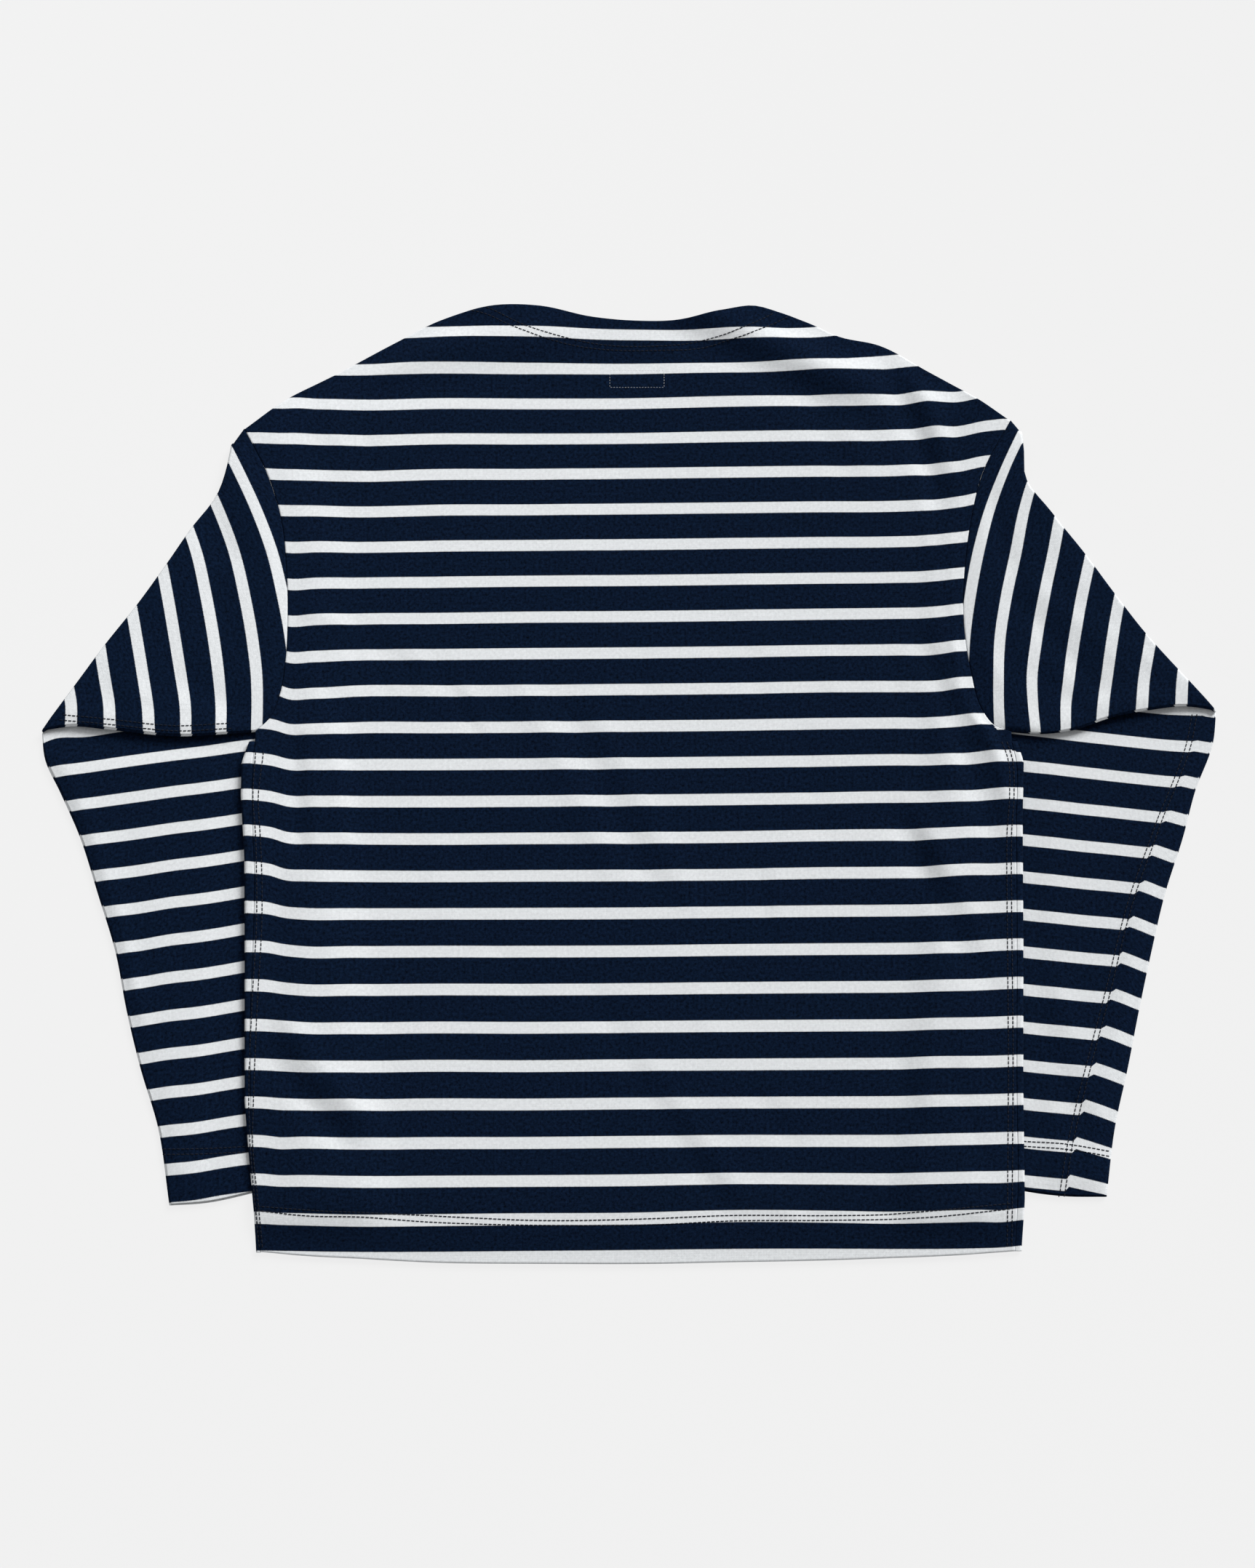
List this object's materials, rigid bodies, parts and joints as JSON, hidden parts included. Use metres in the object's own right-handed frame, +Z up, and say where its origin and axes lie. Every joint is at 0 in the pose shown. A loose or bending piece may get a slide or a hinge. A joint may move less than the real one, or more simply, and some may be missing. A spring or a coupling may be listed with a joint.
{
  "type": "boatneck sweatshirt",
  "caption": "Long-sleeved boatneck sweatshirt in navy knit with narrow white stripes, lying flat with its back upwards and its sleeves folded under the body.",
  "frame": {"origin": "centre of the bounding box, on the table plane that the garment rests on", "axes": "+X across the chest, +Y from the hem to the neck, +Z up from the table through the cloth layers"},
  "size_m": [0.9089, 0.7621, 0.0106],
  "materials": {
    "striped_knit": "matt cotton knit, navy with narrow white stripes"
  },
  "bodies": {
    "root": {"back": "striped_knit", "front": "striped_knit", "sleeve_left": "striped_knit", "sleeve_right": "striped_knit"}
  },
  "joints": []
}
